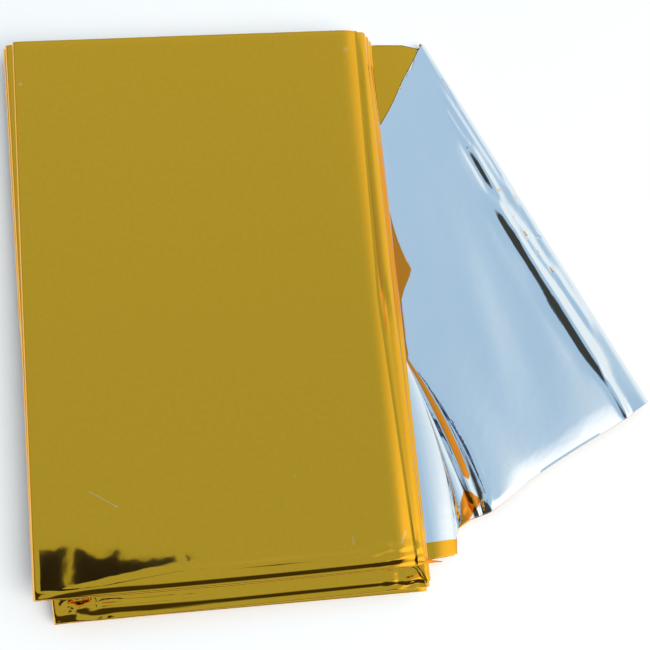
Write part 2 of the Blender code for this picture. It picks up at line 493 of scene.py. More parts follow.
# %% Plies of film
def ply_path(rows, layers, middle):
    """The film's points: one row of points for each line, running through all three plies."""
    length = np.linalg.norm(rows[:, 4:6] - rows[:, 0:2], axis=1)
    gap, lip = rows[:, GAP], rows[:, LIP]
    inset = (gap / 2 + FILM / 2) / length
    fold_front = inset + (np.maximum(-lip, 0) + wander(layers, FOLD_FRONT_STRAY, 0.4)) / length
    fold_back = 1 - inset - FOLD_BACK_INSET / length
    end_front = inset + (np.maximum(lip, 0) + wander(layers, END_FRONT_STRAY, 2.0)) / length
    end_back = 1 - (END_BACK_INSET + wander(layers, END_BACK_STRAY, 4.0)) / length
    tangent_t = unit(np.gradient(middle, axis=1))
    tangent_s = unit(np.gradient(middle, axis=0))
    normal = unit(np.cross(tangent_s, tangent_t))
    runs = []

    def add(share, offset, forward):
        """A run at these shares, offset off the middle surface and moved forward, in millimetres."""
        place_at = sampled(middle, share)
        up = sampled(normal, share)
        ahead = sampled(tangent_t, share)
        runs.append(place_at + up * offset[..., None] - ahead * forward[..., None])

    def straight(front, back, offset, forwards):
        share = front[:, None] + (back - front)[:, None] * ply_spacing()[None, :]
        share = share[:, ::-1] if forwards else share
        add(share, np.repeat((offset * gap)[:, None], PLY_STEPS, axis=1), np.zeros_like(share))

    def turned(at, centre, side):
        angle = pi * np.arange(1, TURN_STEPS) / TURN_STEPS
        share = np.repeat(at[:, None], TURN_STEPS - 1, axis=1)
        radius = gap[:, None] / 2
        add(share, (centre * gap)[:, None] + radius * np.cos(angle), side * radius * np.sin(angle))

    straight(fold_front, end_back, 1.0, True)
    turned(fold_front, 0.5, 1.0)
    straight(fold_front, fold_back, 0.0, False)
    turned(fold_back, -0.5, -1.0)
    straight(end_front, fold_back, -1.0, True)
    return np.concatenate(runs, axis=1)


film = ply_path(rows, row_layer, middle)
print("film of", film.shape[0], "by", film.shape[1], "points")

# %% [markdown]
# ## Creases, droops and crumples
#
# Film this thin takes every knock as a crease. Each one is listed: where it starts and ends,
# how wide it is and how high it stands, with a minus for a trough. A crease fades at both ends.
# All of this only lifts or lowers the film, by the same amount in all three plies at one place, so
# the outline stays where the folds put it and the plies can't cut through each other.

# %% Creases
Crease = namedtuple("Crease", "name start_x start_y end_x end_y width height")
FLAP_CREASES = table_of(
    Crease,
    ("long crest, back", 74.2, 22.6, 86.6, -4.4, 1.3, 1.1),
    ("long crest, middle", 84.2, 0.6, 97.4, -27.2, 1.9, 1.5),
    ("long crest, front", 95, -22, 102.8, -39.2, 1, 0.58),
    ("long trough, back", 72.6, 21, 84, -4.4, 1.3, -0.34),
    ("long trough, middle", 82, 0, 94.4, -26, 1.6, -0.4),
    ("broken crest", 77.6, 19.2, 87, 1.6, 0.7, 0.6),
    ("side facet", 87.6, 2, 96.4, -15.6, 0.8, 0.42),
    ("sliver", 69.8, 37.6, 76.8, 21, 0.9, 0.8),
    ("sliver's foot", 68.4, 37, 75, 21.8, 0.9, -0.4),
    ("bow", 73, 18.6, 80.8, 24.4, 0.9, 0.7),
    ("short facet", 77.4, 12.8, 85.4, 9, 0.9, 0.4),
    ("second short facet", 84.6, 4.6, 90.6, -2.6, 0.9, 0.32),
    ("line beside the roll", 63.6, 54, 78, 24, 0.6, 0.3),
    ("front fold", 78.4, -50.9, 97, -41.4, 0.8, 0.3),
    ("front wedge", 59.4, -60, 75, -53.4, 1.7, -1.1),
)
TOP_CREASES = table_of(
    Crease,
    ("front line, left", -50, -67, -8, -62.8, 0.45, 0.2),
    ("front line, middle", -12, -63.1, 18, -63.5, 0.5, 0.24),
    ("front line, right", 4, -63.2, 40, -63.9, 0.5, 0.28),
    ("back corner", 36, 62.4, 43, 63.8, 0.8, 0.1),
    ("right corner, upper", 31.6, -62.4, 42.6, -63.2, 0.6, 0.3),
    ("right corner, lower", 33, -66.2, 42.5, -64.6, 0.5, 0.25),
)
UNDER_TOP_CREASES = table_of(
    Crease,
    ("slit beside the free edge", 42.4, 66, 41.4, -6, 0.5, -0.45),
    ("notch", 41.4, 2, 43.6, -12, 0.5, -0.35),
    ("line in the band, front", 43.6, -10, 44.8, -66, 0.4, -0.25),
)
LOWER_CREASES = table_of(
    Crease,
    ("left corner fold", -40.4, -72, -30, -67.6, 0.7, 0.3),
    ("left corner cross", -36.6, -66, -35, -72, 0.6, 0.2),
    ("left ripple", -33, -69, -4, -70, 0.55, 0.16),
    ("front of the ripple", -30, -70.8, 6, -71.4, 0.5, 0.12),
    ("right corner fold", 37, -67.4, 37.4, -73, 0.5, 0.32),
    ("right corner knot", 37.6, -72.4, 44.6, -69.8, 0.6, 0.34),
    ("right corner knot, across", 42, -69, 41, -73.4, 0.5, 0.26),
)
CREASE_FADE = 0.18


def crease_height(x, y, creases):
    """How high a table's creases stand at these places: each is a ridge that fades at both ends."""
    height = np.zeros_like(x)
    for crease in creases:
        start = np.array([crease.start_x, crease.start_y])
        along = np.array([crease.end_x, crease.end_y]) - start
        length = hypot(*along)
        way = ((x - start[0]) * along[0] + (y - start[1]) * along[1]) / length**2
        aside = ((x - start[0]) * along[1] - (y - start[1]) * along[0]) / length
        fade = smooth_step(0.0, CREASE_FADE, way) * smooth_step(0.0, CREASE_FADE, 1 - way)
        height += crease.height * fade * np.exp(-((aside / crease.width) ** 2))
    return height


packet_creases = len(TOP_CREASES + UNDER_TOP_CREASES + LOWER_CREASES)
print("creases:", len(FLAP_CREASES), "on the flap,", packet_creases, "on the packet")

# %% [markdown]
# The edges of a packet that has been pressed and handled roll down. Each layer's droop is a row
# of a table, deepest for the layers on top of each half, and a fold between two layers has a row of
# its own where its droop isn't halfway between theirs. A droop is less deep at the left, where the
# film was pulled tight. Crumples are spots of small, sharp unevenness: at the corners, and all
# along the tuck. Broad, shallow waves on the flap and in the packet give soft streaks.

# %% Droops and crumples
Droop = namedtuple("Droop", "layer lip width left_depth right_depth")
FRONT_DROOPS = table_of(
    Droop,
    (2.5, 0.2, 1.5, 0, 0),
    (3, 0.2, 1.5, 0.1, 0.15),
    (4, 0.4, 1.6, 0.3, 0.35),
    (5, 0.9, 1.5, 0.45, 0.55),
    (6, 0.3, 1.5, 0.2, 0.3),
    (7, 0.2, 1.5, 0.15, 0.3),
    (7.5, 0.1, 1.3, 0.2, 0.7),
    (8, 0.2, 1.7, 0.3, 0.6),
    (9, 0.3, 1.7, 0.38, 0.66),
)
SideDroop = namedtuple("SideDroop", "layer edge_x width depth")
SIDE_DROOPS = table_of(
    SideDroop,
    (6, 46, 4, 0.2),
    (7, 45, 4.2, 0.4),
    (8, 44.8, 4.2, 0.6),
    (9, 41.6, 3.2, 0.5),
)
PACKET_LEFT, PACKET_RIGHT = -42.0, 42.0
BACK_DROOP, BACK_DROOP_WIDTH = 0.3, 1.3
FLAP_DROOP, FLAP_DROOP_WIDTH = 0.85, 9.0
FLAP_DROOP_START, FLAP_DROOP_FULL = 66.0, 74.0
FLAP_WAVES_START, FLAP_WAVES_FULL = 60.0, 72.0
ROLL_MARGIN, ROLL_MARGIN_FADE = 2.0, 5.0
FLAP_LAYER, LOWER_TOP = 2, 5
Crumple = namedtuple("Crumple", "name layer x y reach amount grain")
CRUMPLES = table_of(
    Crumple,
    ("tuck, upper", 2, 55.6, -40, 2.4, 0.14, 1.2),
    ("tuck, middle", 2, 58.4, -47, 2.6, 0.22, 1.1),
    ("tuck, lower", 2, 60.4, -52.6, 3, 0.26, 1.3),
    ("tuck, front", 2, 58.6, -57, 2.6, 0.3, 1.3),
    ("broken crest", 2, 82.5, 12, 6, 0.18, 1.5),
    ("long crest", 2, 91, -5, 6, 0.15, 1.7),
    ("left corner", 5, -35.6, -70, 4.6, 0.36, 0.9),
    ("left ripples", 5, -26, -69.2, 6.5, 0.2, 1),
    ("right corner", 9, 38, -63.4, 3.4, 0.26, 0.9),
    ("right knot", 5, 41.6, -71.2, 3.8, 0.4, 0.8),
    ("back corner", 9, 41, 63, 4, 0.12, 1.6),
    ("free corner", 8, 43.6, -63.5, 3, 0.3, 0.9),
    ("corner below", 6, 42.5, -69, 4, 0.36, 0.9),
)
print(len(FRONT_DROOPS) + len(SIDE_DROOPS), "droops and", len(CRUMPLES), "crumples")


# %% Waves and facets
def unevenness(x, y, grain):
    """Small facets from -1 to 1: sines folded back on themselves, which gives sharp ridges."""
    first = np.abs(np.sin(x / grain * 1.3 + 1.1 * np.sin(y / grain * 0.7)))
    second = np.abs(np.sin(y / grain * 1.1 - x / grain * 0.6 + 1.9 * np.sin(x / grain * 0.5)))
    return first + second - 1.27


def flap_waves(x, y):
    """Soft ripples that run the flap's length, a little askew, and swell and fade."""
    over = 0.98 * x + 0.18 * y
    along = 0.98 * y - 0.18 * x
    wave = 0.18 * np.sin(over / 3.0 + 0.6 * np.sin(along / 19))
    return wave * (0.6 + 0.4 * np.sin(along / 13 + over / 23))


def packet_waves(x, y, layer):
    """Very shallow swells of the packet's layers, different in each."""
    broad = 0.05 * np.sin(x / 13 + layer * 1.7) * np.sin(y / 19 + layer)
    return broad + 0.02 * np.sin(x / 7.1 + y / 11.3 + layer * 2.3)


def distance_to_roll(x, y):
    """How far places lie to the left of the slanted roll's outermost line."""
    roll = FOLDS[1]
    run_x, run_y = roll.back_x - roll.front_x, roll.back_y - roll.front_y
    return ((roll.front_x - x) * run_y - (roll.front_y - y) * run_x) / hypot(run_x, run_y)


def droop(distance, width, depth):
    """How far an edge rolls down, from the distance behind it; a little past it, it drops further."""
    return depth * np.clip(1 - distance / width, 0, 1.3) ** 2


def by_layer(table, layer):
    """Each column of a table of droops, read at these layers and between its rows."""
    columns = np.array(table, dtype=float).T
    return [np.interp(layer, columns[0], column) for column in columns[1:]]


print("the roll runs", round(distance_to_roll(0, 0)), "mm from the packet's middle")


# %% Lift the film
def packet_relief(x, y, layer, from_front, length):
    lip, width, left, right = by_layer(FRONT_DROOPS, layer)
    over = np.clip((x - PACKET_LEFT) / (PACKET_RIGHT - PACKET_LEFT), 0, 1)
    lift = -(left + (right - left) * over) * (1 - smooth_step(lip, lip + width, from_front))
    edge_x, width, depth = by_layer(SIDE_DROOPS, layer)
    lift -= droop(edge_x - x, width, depth)
    lift -= droop(length - from_front, BACK_DROOP_WIDTH, BACK_DROOP)
    between_folds = layer == np.round(layer)
    lift += np.where(between_folds, packet_waves(x, y, layer), 0)
    tables = ((LAYERS, TOP_CREASES), (LAYERS - 1, UNDER_TOP_CREASES), (LOWER_TOP, LOWER_CREASES))
    for creased_layer, creases in tables:
        lift += np.where(layer == creased_layer, crease_height(x, y, creases), 0)
    return lift


def flap_relief(x, y, from_front):
    before_roll = smooth_step(ROLL_MARGIN, ROLL_MARGIN + ROLL_MARGIN_FADE, distance_to_roll(x, y))
    waving = smooth_step(FLAP_WAVES_START, FLAP_WAVES_FULL, x) * before_roll
    drooping = smooth_step(FLAP_DROOP_START, FLAP_DROOP_FULL, x) * before_roll
    lift = crease_height(x, y, FLAP_CREASES) + flap_waves(x, y) * waving
    return lift - droop(from_front, FLAP_DROOP_WIDTH, FLAP_DROOP) * drooping


def crumple_height(x, y, spot):
    near = np.exp(-(((x - spot.x) ** 2 + (y - spot.y) ** 2) / spot.reach**2))
    return spot.amount * near * unevenness(x, y, spot.grain)


def relief(rows, layers, film):
    """How far each of the film's points is lifted, from its place and its layer."""
    x, y = film[..., 0], film[..., 1]
    layer = np.repeat(layers[:, None], film.shape[1], axis=1)
    run = rows[:, 4:6] - rows[:, 0:2]
    length = np.linalg.norm(run, axis=1, keepdims=True)
    ahead = unit(run)[:, None]
    from_front = (x - rows[:, 0, None]) * ahead[..., 0] + (y - rows[:, 1, None]) * ahead[..., 1]
    packet = packet_relief(x, y, layer, from_front, length)
    flap = flap_relief(x, y, from_front)
    for spot in CRUMPLES:
        target = flap if spot.layer == FLAP_LAYER else packet
        target += np.where(layer == spot.layer, crumple_height(x, y, spot), 0)
    on_flap = (layer == FLAP_LAYER) & (x > LEAF_LIMIT)
    return np.where(on_flap, flap, np.where(layer > FLAP_LAYER, packet, 0))


film[..., 2] += relief(rows, row_layer, film)
print("film lies from", film[..., 2].min().round(2), "to", film[..., 2].max().round(2), "mm high")

# %% [markdown]
# ## From the film to a closed mesh
#
# Even thin film has two sides and an edge. The grid of points is doubled, half a film's thickness
# to each side, and the four borders are sewn up, so the mesh is closed. Each face then knows its
# side, and that decides its colour: gold outside the packet, and silver where the leaf shows the
# sheet's other side. In the tuck the film is turned over in places and shows gold again.
#
# The UV map holds the film's own lengths in metres, so that a pattern follows the folds. Two more
# values lie on the points. One marks where the gold is painted amber: a painted reflection of gold
# in gold, as when light passes the lacquer twice, and painted shade in the slit beside the free
# edge. The other, turned_over, is a distance to the border of the turned-over film. Its sign says
# which side of the border a point lies on, so the border stays sharp between the points.

# %% Turned-over film and painted amber reflection
AMBER_STRIP_END = -49.6
TUCK_START = -17.6
TURNED_FACET = ((58.2, -51.2), (62.3, -53.9), (57.6, -59.6), (56.4, -59.6), (56.7, -54.5))
PAINTED_AMBER_BACK, PAINTED_AMBER_BACK_FADE = 46.0, 16.0
PAINTED_AMBER_FRONT, PAINTED_AMBER_FRONT_FADE = -14.0, 8.0
PAINTED_AMBER_SIDE_START, PAINTED_AMBER_SIDE_FULL, PAINTED_AMBER_SIDE_SHARE = 44.8, 46.2, 0.85
PAINTED_AMBER_LAYERS_ABOVE, PAINTED_AMBER_LAYERS_BELOW = 2.2, 6.6
SLIT_X, SLIT_WIDTH, SPIKE_Y = 41.9, 0.45, -65.6


def depth_inside(outline, x, y):
    """How far points lie inside an outline that bulges everywhere and runs clockwise."""
    depth = np.full_like(x, np.inf)
    for (x0, y0), (x1, y1) in zip(outline, outline[1:] + outline[:1]):
        side_x, side_y = x1 - x0, y1 - y0
        from_side = (side_y * (x - x0) - side_x * (y - y0)) / hypot(side_x, side_y)
        depth = np.minimum(depth, from_side)
    return depth


def turned_over(film):
    """Above 0 where the leaf's film is turned over and shows gold, 0 on the border."""
    x, y = film[..., 0], film[..., 1]
    tuck = rows[:, TUCK, None] > 0.5
    strip = np.minimum(rows[:, GILT, None], y - AMBER_STRIP_END)
    beside_packet = np.where(tuck, y - TUCK_START, -1.0)
    facet = np.where(tuck, depth_inside(TURNED_FACET, x, y), -1.0)
    return np.clip(np.maximum(np.maximum(strip, beside_packet), facet), -1, 1)


def painted_reflection_share(film):
    """Share of painted amber reflection of gold in gold: 1 in the tuck, less on the packet's right
    side beside it, 0 on the open gold faces.
    """
    x, y = film[..., 0], film[..., 1]
    layer = row_layer[:, None]
    tuck = rows[:, TUCK, None] > 0.5
    beside = smooth_step(PAINTED_AMBER_SIDE_START, PAINTED_AMBER_SIDE_FULL, x)
    beside *= (layer > PAINTED_AMBER_LAYERS_ABOVE) & (layer < PAINTED_AMBER_LAYERS_BELOW)
    beside *= smooth_step(PAINTED_AMBER_BACK, PAINTED_AMBER_BACK - PAINTED_AMBER_BACK_FADE, y)
    beside *= smooth_step(PAINTED_AMBER_FRONT, PAINTED_AMBER_FRONT + PAINTED_AMBER_FRONT_FADE, y)
    # Painted shade: the slit beside the free edge is painted amber too, and the spike's front gets the
    # same painted reflection.
    slit = np.exp(-(((x - SLIT_X) / SLIT_WIDTH) ** 2)) * (layer == LAYERS - 1) * (y > PAINTED_AMBER_FRONT)
    spike = (rows[:, SPIKE, None] > 0.5) & (y < SPIKE_Y)
    return np.clip(tuck + PAINTED_AMBER_SIDE_SHARE * beside + slit + spike, 0, 1)


print("points on turned-over film:", (turned_over(film) > 0).sum())

# %% Build the sheet's mesh
GOLD_SLOT, SILVER_SLOT = 0, 1


def lengths_along(grid, axis):
    """The film's own length from the first row of a grid to each row, or along the columns."""
    steps = np.linalg.norm(np.diff(grid, axis=axis), axis=-1)
    return np.concatenate([[0], np.cumsum(np.median(steps, axis=1 - axis))])


def quads_of(*rows_of_points):
    """The faces between rows of point numbers."""
    index = np.array(rows_of_points)
    corners = [index[:-1, :-1], index[1:, :-1], index[1:, 1:], index[:-1, 1:]]
    return np.stack(corners, axis=-1).reshape(-1, 4)


def two_sided(film):
    """Points on the gold side and the silver side, and the faces of both sides and the rims."""
    count, points = film.shape[:2]
    along_s = unit(np.gradient(film, axis=0))
    along_w = unit(np.gradient(film, axis=1))
    normal = unit(np.cross(along_w, along_s))
    sides = [film + normal * FILM / 2, film - normal * FILM / 2]
    vertices = np.concatenate([side.reshape(-1, 3) for side in sides]) * MM
    gold = np.arange(count * points).reshape(count, points)
    silver = gold + count * points
    rims = [
        quads_of(gold[0], silver[0])[:, ::-1],
        quads_of(gold[-1], silver[-1]),
        quads_of(gold[:, 0], silver[:, 0]),
        quads_of(gold[:, -1], silver[:, -1])[:, ::-1],
    ]
    return vertices, quads_of(*gold)[:, ::-1], quads_of(*silver), np.concatenate(rims)


def add_film_uv(mesh, across, through):
    flat = np.stack(np.meshgrid(across, through, indexing="ij"), axis=-1).reshape(-1, 2)
    flat = np.concatenate([flat, flat])
    loop_vertices = np.zeros(len(mesh.loops), dtype=np.int32)
    mesh.loops.foreach_get("vertex_index", loop_vertices)
    uv_map = mesh.uv_layers.new(name="film_lengths")
    uv_map.data.foreach_set("uv", flat[loop_vertices].reshape(-1).astype(np.float32))


def build_sheet(film, across, through):
    vertices, gold_quads, silver_quads, rims = two_sided(film)
    faces = np.concatenate([gold_quads, silver_quads, rims])
    mesh = bpy.data.meshes.new("film_sheet")
    mesh.from_pydata(vertices.tolist(), [], faces.tolist())
    slots = np.full(len(faces), GOLD_SLOT, dtype=np.int32)
    leaf = np.repeat(np.minimum(row_layer[:-1], row_layer[1:]) <= FLAP_LAYER, film.shape[1] - 1)
    slots[len(gold_quads) : len(gold_quads) * 2][leaf] = SILVER_SLOT
    mesh.polygons.foreach_set("material_index", slots)
    mesh.polygons.foreach_set("use_smooth", np.ones(len(faces), dtype=bool))
    add_film_uv(mesh, across, through)
    for name, values in (("amber", painted_reflection_share(film)), ("turned_over", turned_over(film))):
        attribute = mesh.attributes.new(name, "FLOAT", "POINT")
        attribute.data.foreach_set("value", np.tile(values.reshape(-1), 2).astype(np.float32))
    mesh.update()
    sheet = bpy.data.objects.new("film_sheet", mesh)
    bpy.context.scene.collection.objects.link(sheet)
    return sheet


across, through = lengths_along(film, 0) * MM, lengths_along(film, 1) * MM
sheet = build_sheet(film, across, through)
print(len(sheet.data.polygons) * 2, "triangles")

# %% [markdown]
# ## Wrinkles and wear in the film
#
# Both coats lie on the same film, so they share their marks. One node group gives three patterns of
# different fineness: a crinkle for the bump, a grain for the lacquer's mottling, and a cloudiness
# for roughness and tone. Each material uses them with its own strength. A second group gives a
# single scratch or hair crease: how near a point lies to a line from one place to another. It is
# used once for each mark in a table.

# %% Helpers for nodes
def new_group(name, inputs, outputs):
    group = bpy.data.node_groups.new(name, "ShaderNodeTree")
    for in_out, sockets in (("INPUT", inputs), ("OUTPUT", outputs)):
        for label, kind in sockets:
            group.interface.new_socket(name=label, in_out=in_out, socket_type=kind)
    return group, group.nodes.new("NodeGroupInput"), group.nodes.new("NodeGroupOutput")


def add_node(tree, kind, **settings):
    node = tree.nodes.new(kind)
    for key, value in settings.items():
        setattr(node, key, value)
    return node


def feed(tree, socket, value):
    """Links an input to another node's output, or sets it to a constant."""
    if isinstance(value, bpy.types.NodeSocket):
        tree.links.new(value, socket)
    elif socket.type == "RGBA":
        socket.default_value = (*value, 1)
    else:
        socket.default_value = value


def wire(tree, node, **sources):
    """Feeds a node's inputs by name, with _ for a space."""
    for label, value in sources.items():
        feed(tree, node.inputs[label.replace("_", " ")], value)
    return node


def calculate(tree, operation, *values, kind="ShaderNodeMath"):
    node = add_node(tree, kind, operation=operation)
    for socket, value in zip(node.inputs, values):
        feed(tree, socket, value)
    return next(output for output in node.outputs if output.enabled)


def calculate_vector(tree, operation, *values):
    return calculate(tree, operation, *values, kind="ShaderNodeVectorMath")


def map_range(tree, value, interpolation="LINEAR", **limits):
    node = add_node(tree, "ShaderNodeMapRange", interpolation_type=interpolation)
    return wire(tree, node, Value=value, **limits).outputs["Result"]


def mix_colours(tree, factor, first, second):
    node = add_node(tree, "ShaderNodeMix", data_type="RGBA")
    wire(tree, node, Factor=factor, A=first, B=second)
    return node.outputs["Result"]


print("node groups so far:", len(bpy.data.node_groups))

# %% Groups of nodes
CRINKLE_SCALE, GRAIN_SCALE, CLOUD_SCALE, PATTERN_DETAIL = 160.0, 900.0, 34.0, 2.0


def film_marks():
    """Three noise patterns of different fineness, all read in the film's own lengths."""
    names = ("Crinkle", "Grain", "Cloud")
    outputs = [(name, "NodeSocketFloat") for name in names]
    group, start, end = new_group("film_marks", [("Lengths", "NodeSocketVector")], outputs)
    for name, scale in zip(names, (CRINKLE_SCALE, GRAIN_SCALE, CLOUD_SCALE)):
        noise = add_node(group, "ShaderNodeTexNoise")
        wire(group, noise, Vector=start.outputs["Lengths"], Scale=scale, Detail=PATTERN_DETAIL)
        feed(group, end.inputs[name], noise.outputs["Fac"])
    return group


def line_mark():
    """Gives 1 on the line between two places, and 0 from a width away."""
    inputs = [(label, "NodeSocketVector") for label in ("Lengths", "From", "To")]
    inputs.append(("Width", "NodeSocketFloat"))
    group, start, end = new_group("line_mark", inputs, (("Mark", "NodeSocketFloat"),))
    place, first, last, width = (start.outputs[label] for label, _ in inputs)
    away = calculate_vector(group, "SUBTRACT", place, first)
    along = calculate_vector(group, "SUBTRACT", last, first)
    reach = calculate_vector(group, "DOT_PRODUCT", away, along)
    share = calculate(group, "DIVIDE", reach, calculate_vector(group, "DOT_PRODUCT", along, along))
    share = calculate(group, "MINIMUM", calculate(group, "MAXIMUM", share, 0.0), 1.0)
    nearest = calculate_vector(group, "MULTIPLY", along, share)
    distance = calculate_vector(group, "LENGTH", calculate_vector(group, "SUBTRACT", away, nearest))
    near = calculate(group, "SUBTRACT", 1.0, calculate(group, "DIVIDE", distance, width))
    feed(group, end.inputs["Mark"], calculate(group, "MAXIMUM", near, 0.0))
    return group


marks_group, line_group = film_marks(), line_mark()
print("groups:", marks_group.name, "and", line_group.name)

# %% [markdown]
# Rubbed spots and one long scratch mark the gold. The silver has hair creases, which stand up a
# little, and teeth along the slanted edge, which are pressed in. A mark's place is given where it is
# seen, in millimetres, and looked up in the film's own lengths.

# %% Marks on the film
Mark = namedtuple("Mark", "name start_x start_y end_x end_y width strength")
GOLD_SCRATCHES = table_of(
    Mark,
    ("scratch, first part", -31.3, -43, -29.2, -44.3, 0.16, 0.25),
    ("scratch, second part", -29.2, -44.3, -26, -46.6, 0.2, 0.35),
    ("scratch, third part", -26, -46.6, -23.2, -47.7, 0.22, 0.5),
    ("scratch, last part", -23.2, -47.7, -20.8, -48.2, 0.24, 0.6),
    ("rubbed spot, back left", -40.7, 55, -40.4, 54.8, 0.5, 0.6),
    ("rubbed spot, back right", 38.6, 60.4, 39.4, 60, 0.9, 0.25),
    ("rub at the front right", 40.2, -59.4, 40, -62.4, 0.35, 0.35),
    ("rub in the middle", 15.6, -44.2, 15.5, -44.8, 0.35, 0.2),
    ("rub before the middle", 26.7, -59.4, 26.6, -60.6, 0.4, 0.2),
)
FLAP_HAIR_CREASES = table_of(
    Mark,
    ("from the sliver on", 66.4, 45, 70.4, 36, 0.9, 0.4),
    ("across the crest", 82, 11, 85.4, 9.4, 0.8, -0.5),
    ("tooth, first", 58.4, 60.6, 57.2, 58.4, 0.6, -0.8),
    ("tooth, second", 56, 57.2, 55.2, 56.6, 0.6, -0.8),
    ("tooth, third", 54.4, 53.8, 53.6, 53.2, 0.6, -0.8),
    ("by the front", 80, -50, 95, -42.8, 0.7, 0.5),
)


def film_place(layer, x, y):
    """The film's own lengths, in metres, at a place of a layer's uppermost ply."""
    ply = slice(-PLY_STEPS, None) if layer == FLAP_LAYER else slice(0, PLY_STEPS)
    steps = np.arange(film.shape[1])[ply]
    lines = np.flatnonzero(row_layer == layer)
    area = film[lines][:, ply]
    far = np.hypot(area[..., 0] - x, area[..., 1] - y)
    row, step = np.unravel_index(far.argmin(), far.shape)
    return Vector((across[lines[row]], through[steps[step]], 0.0))


scratch = GOLD_SCRATCHES[0]
scratch_place = film_place(LAYERS, scratch.start_x, scratch.start_y)
print("the scratch starts at", [round(length, 3) for length in scratch_place], "m of film")

# %% [markdown]
# ## Gold and silver coats
#
# Under the colour lies the same mirror of vapour-coated aluminium, so both are fully metallic. The
# gold is a clear yellow lacquer on it, which swallows blue light. Over both lies the clear film
# itself: a thin coat that mirrors a little white light, whatever the colour below. Where film is
# folded into the tuck, and on the packet's right side, the gold is painted amber: a painted
# reflection of gold in gold, as when light passes the lacquer twice.

# %% Coats
GOLD_COAT = (0.93, 0.425, 0.008)
GOLD_COAT_PALE = (0.97, 0.47, 0.02)
# Painted reflection: the amber is how gold would look mirrored in gold, painted where gold faces gold.
AMBER_PAINTED_REFLECTION = (0.90, 0.28, 0.010)
RUBBED_COAT = (0.90, 0.80, 0.55)
SILVER_COAT = (0.90, 0.92, 0.93)
SILVER_COAT_DULL = (0.86, 0.89, 0.91)
CLEAR_FILM, CLEAR_FILM_ROUGHNESS = 0.35, 0.08
GOLD_ROUGHNESS, SILVER_ROUGHNESS = 0.04, 0.06
SMOOTH_SHARE, DULL_SHARE, RUBBED_ROUGHNESS = 0.8, 1.3, 0.3
GOLD_BUMP, SILVER_BUMP, SILVER_CRINKLE = 0.000014, 0.0003, 0.2
TURNED_BORDER = 0.04


def sum_of_marks(tree, lengths, table, layer):
    """All of a table's marks in one value, each with its own strength."""
    total = 0.0
    for mark in table:
        node = add_node(tree, "ShaderNodeGroup", node_tree=line_group)
        start = film_place(layer, mark.start_x, mark.start_y)
        end = film_place(layer, mark.end_x, mark.end_y)
        wire(tree, node, Lengths=lengths, From=start, To=end, Width=mark.width * MM)
        total = calculate(tree, "MULTIPLY_ADD", node.outputs["Mark"], mark.strength, total)
    return total


def point_value(tree, name):
    return add_node(tree, "ShaderNodeAttribute", attribute_name=name).outputs["Fac"]


def coat_material(name, roughness):
    """A mirror coat under clear film, with its patterns; colours and bump are added after."""
    material = bpy.data.materials.new(name)
    material.use_nodes = True
    tree = material.node_tree
    shader = tree.nodes["Principled BSDF"]
    wire(tree, shader, Metallic=1.0, Coat_Weight=CLEAR_FILM, Coat_Roughness=CLEAR_FILM_ROUGHNESS)
    lengths = add_node(tree, "ShaderNodeUVMap", uv_map="film_lengths").outputs["UV"]
    group = wire(tree, add_node(tree, "ShaderNodeGroup", node_tree=marks_group), Lengths=lengths)
    smooth, dull = roughness * SMOOTH_SHARE, roughness * DULL_SHARE
    rough = map_range(tree, group.outputs["Cloud"], To_Min=smooth, To_Max=dull)
    return material, shader, lengths, group.outputs, rough


def set_bump(tree, shader, height, distance):
    bump = wire(tree, add_node(tree, "ShaderNodeBump"), Height=height, Distance=distance)
    wire(tree, shader, Normal=bump.outputs["Normal"])


print("clear film covers", CLEAR_FILM, "of each coat")


# %% Gold and silver
def gold_coat():
    material, shader, lengths, patterns, rough = coat_material("gold_coat", GOLD_ROUGHNESS)
    tree = material.node_tree
    mottled = mix_colours(tree, patterns["Grain"], GOLD_COAT, GOLD_COAT_PALE)
    rubbed = sum_of_marks(tree, lengths, GOLD_SCRATCHES, LAYERS)
    # Painted reflection and shade: the gold is painted amber in the tuck, on the packet's right side,
    # in the slit and on the spike.
    colour = mix_colours(tree, point_value(tree, "amber"), mottled, AMBER_PAINTED_REFLECTION)
    colour = mix_colours(tree, rubbed, colour, RUBBED_COAT)
    dulled = calculate(tree, "MULTIPLY_ADD", rubbed, RUBBED_ROUGHNESS, rough)
    wire(tree, shader, Base_Color=colour, Roughness=dulled)
    set_bump(tree, shader, patterns["Crinkle"], GOLD_BUMP)
    return material


def silver_coat():
    material, shader, lengths, patterns, rough = coat_material("silver_coat", SILVER_ROUGHNESS)
    tree = material.node_tree
    silver = mix_colours(tree, patterns["Cloud"], SILVER_COAT, SILVER_COAT_DULL)
    turned = point_value(tree, "turned_over")
    turned = map_range(tree, turned, From_Min=-TURNED_BORDER, From_Max=TURNED_BORDER)
    # The turned-over film shows its own gold side, painted amber: a painted reflection of gold in
    # gold.
    colour = mix_colours(tree, turned, silver, AMBER_PAINTED_REFLECTION)
    wire(tree, shader, Base_Color=colour, Roughness=rough)
    creases = sum_of_marks(tree, lengths, FLAP_HAIR_CREASES, FLAP_LAYER)
    height = calculate(tree, "MULTIPLY_ADD", patterns["Crinkle"], SILVER_CRINKLE, creases)
    set_bump(tree, shader, height, SILVER_BUMP)
    return material


for coat in (gold_coat(), silver_coat()):
    sheet.data.materials.append(coat)
print("coats:", [coat.name for coat in sheet.data.materials])

# %% [markdown]
# ## Floor, sky and light
#
# A mirror shows what is around it, so the studio is half of this material. The sky is bluish
# overhead and white toward a large window at the front right. Low at the left and the front it is
# dark, as a room is behind the person who looks, and that is what draws dark lines along folds that
# face there. Each patch of sky is a row of a table, laid over the ones before. A soft lamp that
# mirrors don't see brightens the pale floor and lays the shadows.

# %% Floor, sky and lamp
FLOOR_SIZE, FLOOR_DROP = 4.0, 0.2
FLOOR_COLOUR, FLOOR_ROUGHNESS, FLOOR_SHEEN = (0.86, 0.86, 0.85), 0.9, 0.1
OVERHEAD = (0.41, 0.58, 0.75)

